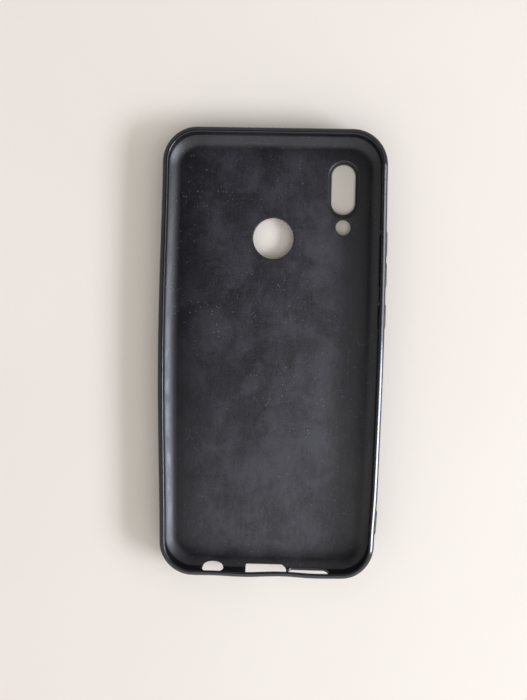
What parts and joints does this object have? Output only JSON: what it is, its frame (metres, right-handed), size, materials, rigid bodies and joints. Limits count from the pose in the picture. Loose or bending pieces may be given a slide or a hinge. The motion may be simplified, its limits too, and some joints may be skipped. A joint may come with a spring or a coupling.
{
  "type": "phone case",
  "caption": "Soft black moulded phone case that wraps a phone's back and sides, with press-through side buttons, ports and a strap boss.",
  "frame": {"origin": "centre of the back's flat outer face, which the case lies on", "axes": "+X to the side with the buttons, +Y to the camera end, +Z out of the open side, towards the screen"},
  "size_m": [0.0749, 0.1516, 0.0093],
  "materials": {
    "shell": "satin, smooth moulded thermoplastic polyurethane",
    "inner_shell": "matte, fine moulded grain with light scuffs",
    "button": "satin, smooth"
  },
  "bodies": {
    "shell": {"back_panel": "inner_shell", "left_wall": "shell", "right_wall": "shell", "top_wall": "shell", "bottom_wall": "shell", "camera_ring": "inner_shell", "volume_web": "shell", "power_web": "shell", "strap_boss": "shell"},
    "volume_up": {"volume_up_button": "button"},
    "volume_down": {"volume_down_button": "button"},
    "power": {"power_button": "button"}
  },
  "joints": [
    {"name": "volume_up_press", "type": "slide", "parent": "shell", "child": "volume_up", "axis": [-1, 0, 0], "range_m": [0, 0.0004], "stiffness_N_per_m": 4000},
    {"name": "volume_down_press", "type": "slide", "parent": "shell", "child": "volume_down", "axis": [-1, 0, 0], "range_m": [0, 0.0004], "stiffness_N_per_m": 4000},
    {"name": "power_press", "type": "slide", "parent": "shell", "child": "power", "axis": [-1, 0, 0], "range_m": [0, 0.0004], "stiffness_N_per_m": 4000}
  ]
}
